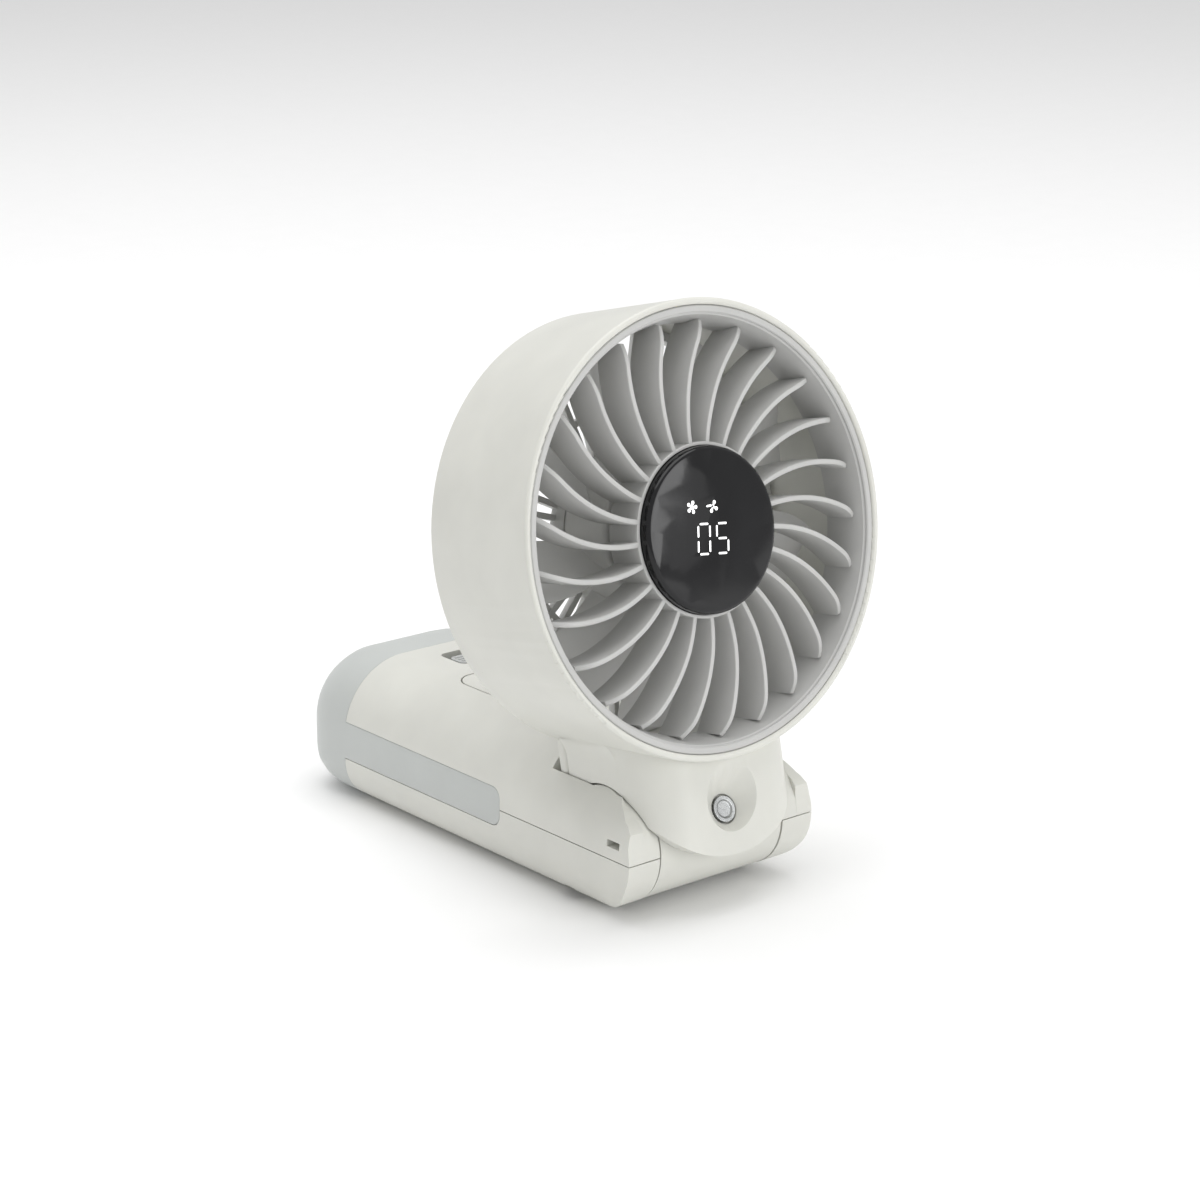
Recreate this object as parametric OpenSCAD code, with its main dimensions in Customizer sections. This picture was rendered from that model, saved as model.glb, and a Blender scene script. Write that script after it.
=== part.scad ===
// Folding handheld fan with a turbine grille, a round display and a glowing end cap.
// The handle lies on the desk and the round head stands up on a hinge at its front end.
// Millimetres. +Z is up, -Y is the side the air leaves from, +X is along the hinge.
// Origin: on the desk, under the middle of the handle's flat underside.

// Sub-part to draw, or all

/* [Handle] */
// Width across the sides
handle_w = 44.4; // [40:0.2:50]
// Height above the desk
handle_h = 28.3; // [26:0.1:32]
// Length from the knuckles to the end of the cap
handle_l = 104.4; // [95:0.1:125]
// Radius of the two upper edges
crown_r = 14.5; // [10:0.1:14.5]
// Radius of the two lower edges
sole_r = 8.5; // [4:0.1:10]
// Rounding of the far end, across
end_r = 9.3; // [4:0.1:12]
// Rounding of the far end, along
end_d = 11.3; // [6:0.1:16]
// Shell thickness
wall = 1.8; // [1.4:0.1:2.4]
// Gap of the visible joint lines
joint_gap = 0.2; // [0.1:0.05:0.4]

/* [Glowing cap] */
// Where the cap starts
cap_y = 87.4; // [80:0.1:95]
// Front end of the side strips
strip_y = 37.5; // [30:0.1:60]
// Lower edge of the side strips
strip_low = 9.3; // [8:0.1:11]
// Upper edge of the side strips
strip_high = 16.8; // [14:0.1:19]
// Corner radius of the side strips
strip_r = 2.4; // [1:0.1:3.5]

/* [Hinge] */
// Hinge axis behind the front face
hinge_y = 11.2; // [10:0.1:13]
// Hinge axis above the desk, also the height of the shell joint
hinge_z = 12.8; // [11:0.1:14]
// Radius of the fixed knuckles
knuckle_r = 11.2; // [10:0.1:12]
// Radius of the turning barrel
barrel_r = 11.1; // [9.5:0.01:11.5]
// Half of the gap between the knuckles
knuckle_x = 14.95; // [12:0.01:17]
// Half of the turning barrel's length
barrel_x = 14.57; // [12:0.01:16.8]
// Slope under the knuckles, in degrees
chin_angle = 21.5; // [10:0.5:30]
// Height of the low shoulder in front of the handle
shoulder_z = 19.7; // [18:0.1:23]
// How far back the low shoulder reaches
shoulder_y = 5; // [3:0.1:8]
// How far the front face leans back at the shoulder
shoulder_lean = 0.6; // [0:0.1:3]
// Shaft radius
shaft_r = 2.5; // [2:0.05:3]
// Running clearance on the shaft
run = 0.05; // [0.02:0.01:0.1]

/* [Head] */
// Lean of the head behind upright, in degrees
head_tilt = 11.7; // [0:0.1:20]
// Fan centre above the hinge axis
head_rise = 54.8; // [50:0.1:60]
// Front joint ahead of the hinge axis
head_lead = 18.6; // [15:0.1:22]
// Radius of the head at the front
drum_r = 41.25; // [38:0.05:45]
// Radius of the head at the back
drum_back_r = 40; // [38:0.05:45]
// Depth of the head
drum_d = 29.8; // [25:0.1:35]
// Radius of the joint between the head and the front grille
seam_r = 39.97; // [37:0.01:43]
// Radius of the air duct
duct_r = 38.3; // [36:0.1:39]

/* [Neck] */
// Half of the neck width
neck_x = 18.2; // [15:0.1:20]
// Radius of the neck's upright front edges
neck_edge_r = 9.4; // [4:0.1:12]
// Front of the neck ahead of the hinge axis
neck_lead = 15.2; // [13:0.1:17]
// Radius of the rounded lower edge of the neck
lobe_r = 21; // [17:0.1:25]
// Centre of the rounded lower edge above the hinge axis
lobe_rise = 16.5; // [12:0.1:20]
// Radius of the blend between the neck and the head
flare_r = 6; // [3:0.1:9]
// Underside of the neck behind the hinge, above the axis
neck_floor = 9.5; // [8:0.1:11]
// Thickness of the cover on the back of the neck
cover_t = 3; // [2:0.1:4]
// Clearance cylinder of the neck around the knuckles
skirt_r = 11.5; // [11.4:0.1:12.5]

/* [Neck screw] */
// Rise of the screw above straight ahead, in degrees
screw_rise = 15.6; // [0:0.1:30]
// Mouth radius of the recess
recess_r = 5.1; // [3:0.1:6]
// Floor radius of the recess
recess_floor_r = 2.8; // [2:0.1:4]
// Radius of the screw head
screw_head_r = 2.45; // [2:0.05:3]

/* [Well for the neck] */
// Half of the well's width
well_x = 18.5; // [17:0.1:20]
// Floor of the well
well_z = 19; // [17:0.1:21]
// Back of the well at its floor
well_back = 25.2; // [24:0.1:28]
// Back of the well at the top of the handle
well_back_top = 27.3; // [25:0.1:30]

/* [Front grille] */
// Number of vanes
vanes = 25; // [15:1:35]
// Thickness of a vane
vane_t = 1; // [0.8:0.1:1.6]
// Bend radius of a vane
vane_bend = 29.5; // [20:0.5:60]
// Turn of the first vane, in degrees
vane_turn = -3.35; // [-7:0.05:7]
// Front edge of the vanes behind the head's front
vane_front = 1; // [0:0.1:3]
// Back edge of the vanes behind the head's front
vane_back = 9.2; // [5:0.1:10]
// Inner radius of the grille ring
ring_r = 36.9; // [35:0.1:38]
// Radius of the hub cup
hub_r = 15.7; // [13:0.1:18]

/* [Display] */
// Lens radius
lens_r = 15.05; // [12:0.05:17]
// Rounding of the lens edge
lens_edge = 1; // [0.5:0.1:1.5]
// Bulge of the lens
lens_bulge = 0.5; // [0.2:0.1:1]
// Turn of the display about the lens axis, in degrees
display_turn = 7.5; // [-10:0.5:10]
// Sideways shift of the figures
display_shift = -0.4; // [-2:0.1:2]
// Width of a lit bar
bar_w = 0.36; // [0.3:0.02:0.6]

/* [Fan] */
// Number of blades
blades = 9; // [5:1:11]
// Blade tip radius
blade_r = 36; // [30:0.1:37]
// Blade pitch, in degrees
blade_pitch = 38; // [20:1:50]
// Radius of the impeller hub
rotor_r = 15.4; // [12:0.1:18]
// Number of ribs in the back grille
back_ribs = 40; // [20:1:60]

/* [Controls] */
// Middle of the power button along the handle
button_y = 60; // [50:0.5:75]
// Width of the power button
button_w = 19.4; // [12:0.1:24]
// Length of the power button
button_l = 15.4; // [8:0.1:20]
// Front end of the switch slot
slot_y = 73.6; // [70:0.1:78]
// Length of the switch slot
slot_l = 8.2; // [6:0.1:10]
// Width of the switch slot
slot_w = 6; // [4:0.1:8]
// Clearance around moving controls
control_gap = 0.3; // [0.2:0.05:0.5]

/* [Hidden] */
$fn = 64;
origin_y = 54;
hw = handle_w / 2;
pass_by = 0.04;
chin_r = knuckle_r - pass_by;
chin_y = hinge_y - chin_r * sin(chin_angle);
chin_z = hinge_z - chin_r * cos(chin_angle);
sole_y = chin_y + chin_z / tan(chin_angle);
screw_angle = 90 - screw_rise;
recess_z = 12.9;
recess_slope = (recess_r - recess_floor_r) / (neck_lead - recess_z);
hub_floor = vane_back - 1.4;
lens_front = -0.7;
lens_back = 2.6;
inlay_back = 1.4;
flare_x = neck_x + flare_r;
flare_u = head_rise - sqrt(pow(drum_back_r + flare_r, 2) - pow(flare_x, 2));
flare_k = drum_back_r / (drum_back_r + flare_r);
cell_r = 9.15;
cell_x = 9.6;
cell_y = 42;
cell_l = 35.5;
boss_x = 14;
boss_y = 83.7;
front_screw_x = 17.2;
front_screw_y = 20.6;

// ---- placing helpers ----

// Draws a Y-Z outline as a bar along X, centred
module along_x(length) {
  rotate([90, 0, 90])
    linear_extrude(height = length, center = true)
      children();
}

// Draws an X-Z outline as a bar along Y
module along_y(from, to) {
  translate([0, to, 0])
    rotate([90, 0, 0])
      linear_extrude(height = to - from)
        children();
}

// Places the head, whose own origin is on the hinge axis
module on_head() {
  translate([0, hinge_y - origin_y, hinge_z])
    rotate([-head_tilt, 0, 0])
      children();
}

// Places a part on the fan axis, local z is the depth behind the head's front
module on_fan() {
  on_head()
    fan_frame()
      children();
}

module fan_frame() {
  translate([0, -head_lead, head_rise])
    rotate([-90, 0, 0])
      children();
}

// Places a handle part, drawn with y measured from the front face of the knuckles
module in_place() {
  translate([0, -origin_y, 0])
    children();
}

module tube(inner, outer, from, to) {
  translate([0, 0, from])
    difference() {
      cylinder(r = outer, h = to - from);
      translate([0, 0, -1])
        cylinder(r = inner, h = to - from + 2);
    }
}

module disc(radius, from, to) {
  translate([0, 0, from])
    cylinder(r = radius, h = to - from);
}

// Rounded rectangle outline around its own centre
module pad(w, l, r) {
  square([w - 2 * r, l], center = true);
  square([w, l - 2 * r], center = true);
  for (sx = [-1, 1])
    for (sy = [-1, 1])
      translate([sx * (w / 2 - r), sy * (l / 2 - r)])
        circle(r = r);
}

// ---- handle ----

// Arched section, seen from the front
module handle_section(inset) {
  w = hw - inset;
  top = handle_h - inset;
  rt = crown_r - inset;
  rb = max(0.5, sole_r - inset);
  translate([-(w - rt), inset + rb])
    square([2 * (w - rt), top - inset - rb]);
  translate([-(w - rb), inset])
    square([2 * (w - rb), top - rt - inset]);
  translate([-w, inset + rb])
    square([2 * w, top - rt - inset - rb]);
  intersection() {
    for (s = [-1, 1])
      translate([s * (w - rt), top - rt])
        circle(r = rt);
    translate([-w, top - rt])
      square([2 * w, rt]);
  }
  for (s = [-1, 1])
    translate([s * (w - rb), inset + rb])
      circle(r = rb);
}

// Side outline of the handle in front of the cap, passing just outside the section
module handle_side() {
  translate([hinge_y, hinge_z])
    circle(r = knuckle_r);
  polygon([
    [chin_y, chin_z], [sole_y, 0], [sole_y + 2, -1], [handle_l, -1],
    [handle_l, handle_h + 1], [shoulder_y + 1.5, handle_h + 1],
    [shoulder_y + 1.2, shoulder_z + 3.6], [shoulder_y - 1, shoulder_z + 1.2],
    [shoulder_lean + 1.2, shoulder_z], [shoulder_lean, shoulder_z - 1.2],
    [0.3, hinge_z - 0.8], [hinge_y, hinge_z]
  ]);
}

module handle_body() {
  intersection() {
    along_y(-1, cap_y)
      handle_section(0);
    along_x(handle_w + 2)
      handle_side();
  }
}

module handle_cavity() {
  intersection() {
    along_y(well_back - 1, cap_y + 1)
      handle_section(wall);
    along_x(handle_w)
      polygon([
        [well_back - 0.6, -1], [handle_l, -1], [handle_l, handle_h],
        [well_back_top + wall, handle_h], [well_back_top + wall, well_z - wall],
        [well_back - 0.6, well_z - wall]
      ]);
  }
}

// Rear part of the handle with its rounded end, shrunk all round by inset
module handle_end(from, inset) {
  hull() {
    along_y(from, handle_l - end_d)
      handle_section(inset, $fn = 48);
    for (a = [15:15:90])
      translate([0, handle_l - end_d + (end_d - inset) * sin(a), 0])
        along_y(-0.5, 0)
          handle_section(inset + (end_r - inset) * (1 - cos(a)), $fn = 48);
  }
}

// Outline of the side strip, y across and z up
module strip_outline(grow) {
  low = strip_low - grow;
  high = strip_high + grow;
  front = strip_y - grow;
  translate([front + strip_r, low])
    square([handle_l - front, high - low]);
  translate([front, low + strip_r])
    square([strip_r + 1, high - low - 2 * strip_r]);
  for (z = [low + strip_r, high - strip_r])
    translate([front + strip_r, z])
      circle(r = strip_r);
}

// Space swept by the neck, the barrel and the lobe
module neck_well() {
  difference() {
    along_x(2 * well_x)
      polygon([
        [-2, hinge_z], [hinge_y, hinge_z], [hinge_y, well_z], [well_back, well_z],
        [well_back_top, handle_h + 0.1], [well_back_top, handle_h + 2], [-2, handle_h + 2]
      ]);
    for (s = [-1, 1])
      translate([s * (knuckle_x + 5), hinge_y, hinge_z])
        rotate([0, 90, 0])
          cylinder(r = knuckle_r - pass_by, h = 10, center = true);
  }
  translate([0, hinge_y, hinge_z])
    rotate([0, 90, 0])
      cylinder(r = knuckle_r + 0.2, h = 2 * knuckle_x, center = true);
  intersection() {
    translate([0, hinge_y, hinge_z])
      rotate([0, 90, 0])
        cylinder(r = 16.3, h = 2 * knuckle_x, center = true);
    along_x(2 * knuckle_x + 2)
      polygon([
        [-6, -6], [-6, hinge_z + 0.2], [hinge_y, hinge_z + 0.2],
        [hinge_y + 0.6, hinge_z], [hinge_y + 8.1, -6]
      ]);
  }
}

module bushing_seats() {
  translate([0, hinge_y, hinge_z])
    rotate([0, 90, 0])
      cylinder(r = 5, h = 2 * 19.4, center = true);
}

module shell_blank() {
  difference() {
    handle_body();
    handle_cavity();
    neck_well();
    bushing_seats();
    translate([-hw - 1, cap_y - 0.1, -1])
      cube([handle_w + 2, 30, handle_h + 2]);
    for (s = [-1, 1])
      translate([s * hw, 0, 0])
        along_x(10)
          strip_outline(0.08);
  }
}

module screw_line(x, y) {
  translate([x, y, -1])
    cylinder(r = 1.05, h = 21);
}

module upper_shell() {
  color([0.91, 0.91, 0.88])
    in_place()
    difference() {
      union() {
        intersection() {
          shell_blank();
          translate([-hw - 1, -1, hinge_z + joint_gap / 2])
            cube([handle_w + 2, handle_l, handle_h]);
        }
        for (s = [-1, 1])
          intersection() {
            handle_body();
            translate([s * boss_x, boss_y, hinge_z + joint_gap / 2])
              cylinder(r = 2.6, h = 14);
          }
      }
      translate([0, button_y, 20])
        linear_extrude(height = 10)
          pad(button_w + 2 * control_gap, button_l + 2 * control_gap, 4.3);
      translate([0, slot_y + slot_l / 2, 20])
        linear_extrude(height = 10)
          pad(slot_w, slot_l, 1.6);
      // keyhole for a wrist loop, left side only
      translate([-hw - 1, 2.9, 15.1])
        cube([4, 3.4, 1.3]);
      for (s = [-1, 1]) {
        screw_line(s * boss_x, boss_y);
        translate([s * front_screw_x, front_screw_y, -1])
          cylinder(r = 1.05, h = 18);
      }
    }
}

module lower_shell() {
  color([0.91, 0.91, 0.88])
    in_place()
    difference() {
      union() {
        intersection() {
          shell_blank();
          translate([-hw - 1, -1, -1])
            cube([handle_w + 2, handle_l, hinge_z - joint_gap / 2 + 1]);
        }
        for (s = [-1, 1])
          intersection() {
            handle_body();
            translate([s * boss_x, boss_y, 0])
              cylinder(r = 2.9, h = hinge_z - joint_gap / 2);
          }
      }
      usb_outline(0.12, 30);
      for (s = [-1, 1]) {
        translate([s * boss_x, boss_y, -1])
          cylinder(r = 1.3, h = 20);
        translate([s * boss_x, boss_y, -1])
          cylinder(r = 2.4, h = 4.2);
        translate([s * front_screw_x, front_screw_y, -1])
          cylinder(r = 1.3, h = 20);
        translate([s * front_screw_x, front_screw_y, -1])
          cylinder(r = 2.4, h = 6.2);
      }
    }
}

module light_diffuser() {
  color([0.8, 0.81, 0.81])
    in_place()
      intersection() {
        difference() {
          handle_end(strip_y - 1, 0);
          handle_end(strip_y - 2, wall);
        }
        union() {
          translate([-hw - 1, cap_y, -1])
            cube([handle_w + 2, 30, handle_h + 2]);
          for (s = [-1, 1])
            translate([s * hw, 0, 0])
              along_x(10)
                strip_outline(0);
        }
      }
}

module power_button() {
  color([0.93, 0.93, 0.9])
    in_place() {
    intersection() {
      handle_body();
      translate([0, button_y, 25.4])
        linear_extrude(height = 5)
          pad(button_w, button_l, 4);
    }
    translate([0, button_y, 24.9])
      linear_extrude(height = 0.8)
        pad(button_w + 2, button_l + 2, 5);
  }
}

module slide_switch() {
  color([0.72, 0.73, 0.72])
    in_place() {
    translate([0, slot_y + 0.4 + 2.4, 25.4])
      linear_extrude(height = 3)
        pad(slot_w - 0.6, 4.8, 1.3);
    translate([0, slot_y + 0.4 + 2.4, 24.9])
      linear_extrude(height = 1.2)
        pad(7.4, 7, 1.5);
    for (i = [-1:1])
      translate([-2, slot_y + 2.8 + 1.2 * i - 0.25, 28.3])
        cube([4, 0.5, 0.3]);
  }
}

module switch_body() {
  color([0.25, 0.26, 0.27])
    in_place()
    translate([-3.6, slot_y - 0.6, 22.6])
      cube([7.2, 9.4, 2]);
}

module button_switch() {
  color([0.3, 0.3, 0.32])
    in_place() {
    translate([-3, button_y - 3, 22.6])
      cube([6, 6, 1.1]);
    translate([0, button_y, 23.6])
      cylinder(r = 1.7, h = 0.5);
  }
}

module main_board() {
  color([0.12, 0.36, 0.24])
    in_place()
    translate([-10.6, 32, 21.4])
      cube([21.2, 53, 1.2]);
}

module board_chips() {
  color([0.16, 0.16, 0.17])
    in_place() {
    translate([-8, 36, 22.6])
      cube([6, 6, 1]);
    translate([3, 38, 22.6])
      cube([4.4, 3.2, 1]);
    translate([-2.5, 45.5, 22.6])
      cube([5, 3, 1.2]);
  }
}

module battery_cells() {
  color([0.24, 0.42, 0.62])
    in_place()
    for (s = [-1, 1])
      translate([s * cell_x, cell_y, 11.4])
        rotate([-90, 0, 0]) {
          cylinder(r = cell_r, h = cell_l - 1);
          translate([0, 0, cell_l - 1])
            cylinder(r = 3.5, h = 1);
        }
}

module cell_tabs() {
  color([0.78, 0.78, 0.76])
    in_place()
    for (y = [cell_y - 0.3, cell_y + cell_l])
      translate([-13, y, 9])
        cube([26, 0.3, 4.8]);
}

module light_board() {
  color([0.93, 0.94, 0.93])
    in_place()
    translate([0, 89.4, 0])
      rotate([90, 0, 0])
        linear_extrude(height = 1.2)
          difference() {
            handle_section(wall + 0.4);
            translate([0, -1])
              square([6, 12], center = true);
          }
}

module light_leds() {
  color([0.98, 0.94, 0.72])
    in_place()
    for (x = [-12, -4, 4, 12])
      for (z = [9, 19])
        translate([x - 1.4, 89.4, z - 1.4])
          cube([2.8, 0.9, 2.8]);
}

// Outline of the charging socket, open to the right
module usb_outline(grow, length) {
  translate([14.9, 32, 10.3])
    rotate([90, 0, 90])
      linear_extrude(height = length)
        pad(8.94 + 2 * grow, 3.16 + 2 * grow, 1.5 + grow);
}

module usb_port() {
  color([0.8, 0.81, 0.82])
    in_place() {
    difference() {
      usb_outline(0, 7.1);
      translate([1.6, 0, 0])
        usb_outline(-0.3, 7.1);
    }
    translate([16, 32 - 3.2, 10.3 - 0.35])
      cube([4.8, 6.4, 0.7]);
  }
}

module usb_board() {
  color([0.12, 0.36, 0.24])
    in_place()
    translate([11.5, 26.6, 7.4])
      cube([7.2, 2.9 + 7.9, 1.1]);
}

module shell_screw(x, y, head_z, top_z) {
  translate([x, y, head_z])
    difference() {
      cylinder(r = 2.2, h = 1.5);
      translate([0, 0, -0.1])
        cylinder(r = 1, h = 1, $fn = 6);
    }
  translate([x, y, head_z + 1.5])
    cylinder(r = 1.04, h = top_z - head_z - 1.5);
}

module shell_screws() {
  color([0.6, 0.61, 0.62])
    in_place()
    for (s = [-1, 1]) {
      shell_screw(s * boss_x, boss_y, 1.7, 19);
      shell_screw(s * front_screw_x, front_screw_y, 3.7, 16.5);
    }
}

// ---- hinge ----

module along_hinge(from, to, r_out, r_in) {
  for (s = [-1, 1])
    translate([s * (from + to) / 2, hinge_y, hinge_z])
      rotate([0, 90, 0])
        difference() {
          cylinder(r = r_out, h = to - from, center = true);
          cylinder(r = r_in, h = to - from + 2, center = true);
        }
}

module hinge_bushings() {
  color([0.76, 0.6, 0.32])
    in_place()
    along_hinge(knuckle_x + 0.02, 19.38, 4.98, shaft_r + run);
}

module hinge_washers() {
  color([0.35, 0.35, 0.36])
    in_place()
    along_hinge(barrel_x - 0.8, barrel_x + 0.3, 5.6, shaft_r);
}

module hinge_shaft() {
  color([0.7, 0.71, 0.72])
    in_place()
    translate([0, hinge_y, hinge_z])
      rotate([0, 90, 0])
        cylinder(r = shaft_r, h = 37.6, center = true);
}

module hinge_barrel() {
  color([0.88, 0.88, 0.85])
    on_head()
      difference() {
        rotate([0, 90, 0])
          cylinder(r = barrel_r, h = 2 * barrel_x, center = true);
        rotate([0, 90, 0])
          cylinder(r = shaft_r, h = 40, center = true);
        for (s = [-1, 1])
          translate([s * barrel_x, 0, 0])
            rotate([0, 90, 0])
              cylinder(r = 5.8, h = 1.6, center = true);
        // lightening ring around the shaft boss, open at neither end
        for (s = [-1, 1])
          translate([s * 8, 0, 0])
            rotate([0, 90, 0])
              difference() {
                cylinder(r = 8.8, h = 8, center = true);
                cylinder(r = 4.4, h = 9, center = true);
              }
        rotate([screw_angle, 0, 0])
          translate([0, 0, 4])
            cylinder(r = 1.25, h = 10);
      }
}

module neck_screw() {
  color([0.62, 0.63, 0.63])
    on_head()
      rotate([screw_angle, 0, 0]) {
        difference() {
          translate([0, 0, 11.9])
            cylinder(r = screw_head_r, h = 1.3);
          translate([0, 0, 12.9])
            cylinder(r1 = 1.5, r2 = 1.9, h = 0.5);
        }
        translate([0, 0, 5])
          cylinder(r = 1.24, h = 6.9);
      }
}

// ---- head ----

// Lower outline of the neck and its blends into the head, x across and u up
module neck_front() {
  intersection() {
    translate([-neck_x, -6])
      square([2 * neck_x, 40]);
    union() {
      translate([0, lobe_rise])
        circle(r = lobe_r);
      translate([-neck_x, lobe_rise])
        square([2 * neck_x, 30]);
    }
  }
  for (s = [-1, 1])
    difference() {
      polygon([
        [0, flare_u], [s * flare_x, flare_u],
        [s * flare_x * flare_k, head_rise - (head_rise - flare_u) * flare_k], [0, 34]
      ]);
      translate([s * flare_x, flare_u])
        circle(r = flare_r);
    }
}

// Neck seen from above, x across and y to the back
module neck_plan(back) {
  translate([-(neck_x - neck_edge_r), -neck_lead])
    square([2 * (neck_x - neck_edge_r), neck_lead + back]);
  translate([-neck_x, -neck_lead + neck_edge_r])
    square([2 * neck_x, neck_lead - neck_edge_r + back]);
  for (s = [-1, 1]) {
    translate([s * (neck_x - neck_edge_r), -neck_lead + neck_edge_r])
      circle(r = neck_edge_r);
    polygon([
      [0, -neck_lead + neck_edge_r], [s * neck_x, -neck_lead + neck_edge_r],
      [s * 25, back - 4], [s * 25, back], [0, back]
    ]);
  }
}

module neck_block(back) {
  intersection() {
    along_y(-neck_lead - 1, back)
      neck_front();
    translate([0, 0, -8])
      linear_extrude(height = 50)
        neck_plan(back);
  }
}

// Outer wall of the head, radius across and depth up
module drum_outline() {
  polygon([
    [duct_r, 9.6], [seam_r, 9.6], [seam_r, 0.64], [drum_r, 0.64],
    [drum_back_r, drum_d - 0.6], [drum_back_r - 0.6, drum_d], [duct_r, drum_d]
  ]);
  translate([seam_r + 0.64, 0.64])
    circle(r = 0.64);
}

module head_shell() {
  color([0.92, 0.92, 0.89])
    on_head()
      difference() {
        union() {
          fan_frame()
            rotate_extrude($fn = 128)
              drum_outline();
          difference() {
            neck_block(drum_d - head_lead - cover_t - 0.1);
            fan_frame()
              disc(seam_r + 0.3, -1, drum_d + 1);
          }
        }
        rotate([0, 90, 0])
          cylinder(r = barrel_r + 0.03, h = 2 * knuckle_x - 0.4, center = true);
        for (s = [-1, 1])
          translate([s * (knuckle_x - 0.2 + 5), 0, 0])
            rotate([0, 90, 0])
              cylinder(r = skirt_r, h = 10, center = true);
        translate([-30, 0, -10])
          cube([60, 20, 10 + neck_floor]);
        rotate([screw_angle, 0, 0]) {
          translate([0, 0, 9])
            cylinder(r = 1.35, h = 5);
          translate([0, 0, 11.9])
            cylinder(r = recess_floor_r, h = 2);
          translate([0, 0, recess_z])
            cylinder(r1 = recess_floor_r, r2 = recess_floor_r + recess_slope * 6, h = 6);
        }
      }
}

module neck_back_cover() {
  back = drum_d - head_lead;
  color([0.92, 0.92, 0.89])
    on_head()
      difference() {
        intersection() {
          along_y(back - cover_t, back)
            intersection() {
              neck_front();
              translate([-neck_x, neck_floor])
                square([2 * neck_x, 12]);
            }
          translate([0, back - cover_t / 2, 0])
            linear_extrude(height = 40)
              pad(2 * neck_x, cover_t, 1.2);
        }
        fan_frame()
          disc(drum_back_r + 0.12, -1, drum_d + 2);
      }
}

// ---- front grille and display, local z is depth ----

module vane_outline() {
  intersection() {
    difference() {
      translate([vane_bend, -16])
        circle(r = vane_bend + vane_t / 2, $fn = 128);
      translate([vane_bend, -16])
        circle(r = vane_bend - vane_t / 2, $fn = 128);
    }
    difference() {
      circle(r = ring_r + 1, $fn = 128);
      circle(r = hub_r - 0.3, $fn = 128);
    }
    translate([-2, -40])
      square([20, 26.5]);
  }
}

module front_grille() {
  color([0.78, 0.78, 0.77])
    on_fan() {
      rotate_extrude($fn = 128)
        polygon([
          [seam_r - 0.05, 0.35], [38.6, 0.35], [38.6, 1.1], [38.2, 1.1],
          [ring_r, 6], [ring_r, 9.5], [seam_r - 0.05, 9.5]
        ]);
      difference() {
        disc(hub_r, 1.3, vane_back);
        disc(lens_r + 0.07, 0, hub_floor);
      }
      for (i = [0:vanes - 1])
        rotate([0, 0, vane_turn + i * 360 / vanes])
          difference() {
            translate([0, 0, vane_front])
              linear_extrude(height = vane_back - 0.2 - vane_front)
                vane_outline();
            rotate_extrude()
              polygon([[33, 0.5], [33, 0.667], [39, 4], [39, 0.5]]);
          }
    }
}

module lens_blank() {
  dome = (pow(lens_r - lens_edge, 2) + pow(lens_bulge, 2)) / (2 * lens_bulge);
  rotate_extrude($fn = 128) {
    translate([0, lens_front + lens_edge])
      square([lens_r, lens_back - lens_front - lens_edge]);
    translate([0, lens_front])
      square([lens_r - lens_edge, 2]);
    translate([lens_r - lens_edge, lens_front + lens_edge])
      circle(r = lens_edge);
  }
  intersection() {
    disc(lens_r - lens_edge, lens_front - 2, lens_front + 1, $fn = 128);
    translate([0, 0, lens_front - lens_bulge + dome])
      rotate([90, 0, 0])
        sphere(r = dome, $fn = 720);
  }
}

module bar(x1, y1, x2, y2) {
  length = sqrt(pow(x2 - x1, 2) + pow(y2 - y1, 2));
  translate([x1, y1])
    rotate([0, 0, atan2(y2 - y1, x2 - x1)]) {
      translate([0, -bar_w / 2])
        square([length, bar_w]);
      circle(r = bar_w / 2);
      translate([length, 0])
        circle(r = bar_w / 2);
    }
}

// Seven-bar figure, bars in the order top, middle, bottom, upper and lower left, upper and lower right
module figure(lit) {
  w = 1.33;
  h = 2.66;
  s = 0.8;
  if (lit[0])
    bar(-s, -h, s, -h);
  if (lit[1])
    bar(-s, 0, s, 0);
  if (lit[2])
    bar(-s, h, s, h);
  if (lit[3])
    bar(-w, -h + 0.5, -w, -0.5);
  if (lit[4])
    bar(-w, 0.5, -w, h - 0.5);
  if (lit[5])
    bar(w, -h + 0.5, w, -0.5);
  if (lit[6])
    bar(w, 0.5, w, h - 0.5);
}

module digits_outline() {
  translate([-2.14, 1.48])
    figure([true, false, true, true, true, true, true]);
  translate([2.14, 1.48])
    figure([true, true, true, true, false, false, true]);
}

// Leaf of a pinwheel sign, pointing away from the middle
module petal(angle) {
  rotate([0, 0, angle]) {
    translate([0.22, -0.82])
      circle(r = 0.34);
    bar(0.06, -0.3, 0.14, -0.62);
  }
}

module icons_outline() {
  translate([-4.75, -4.2])
    for (i = [0:4])
      petal(i * 72);
  translate([0.05, -4.2]) {
    for (a = [10, 100, 190])
      petal(a);
    bar(-1.3, -0.1, -0.45, -0.2);
  }
}

// Puts an outline into the face of the lens as flush inlays
module inlay() {
  intersection() {
    lens_blank();
    rotate([0, 0, display_turn])
      translate([display_shift, 0, -4])
        linear_extrude(height = 4 + inlay_back)
          children();
  }
}

module display_lens() {
  color([0.07, 0.07, 0.08])
    on_fan()
      difference() {
        lens_blank();
        rotate([0, 0, display_turn])
          translate([display_shift, 0, -4])
            linear_extrude(height = 4 + inlay_back) {
              digits_outline();
              icons_outline();
            }
      }
}

module display_digits() {
  color([0.98, 0.98, 0.98])
    on_fan()
      inlay()
        digits_outline();
}

module display_icons() {
  color([0.98, 0.98, 0.98])
    on_fan()
      inlay()
        icons_outline();
}

module display_board() {
  color([0.12, 0.36, 0.24])
    on_fan()
      disc(14.6, 3.4, 4.6);
}

// ---- fan and motor, local z is depth ----

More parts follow.
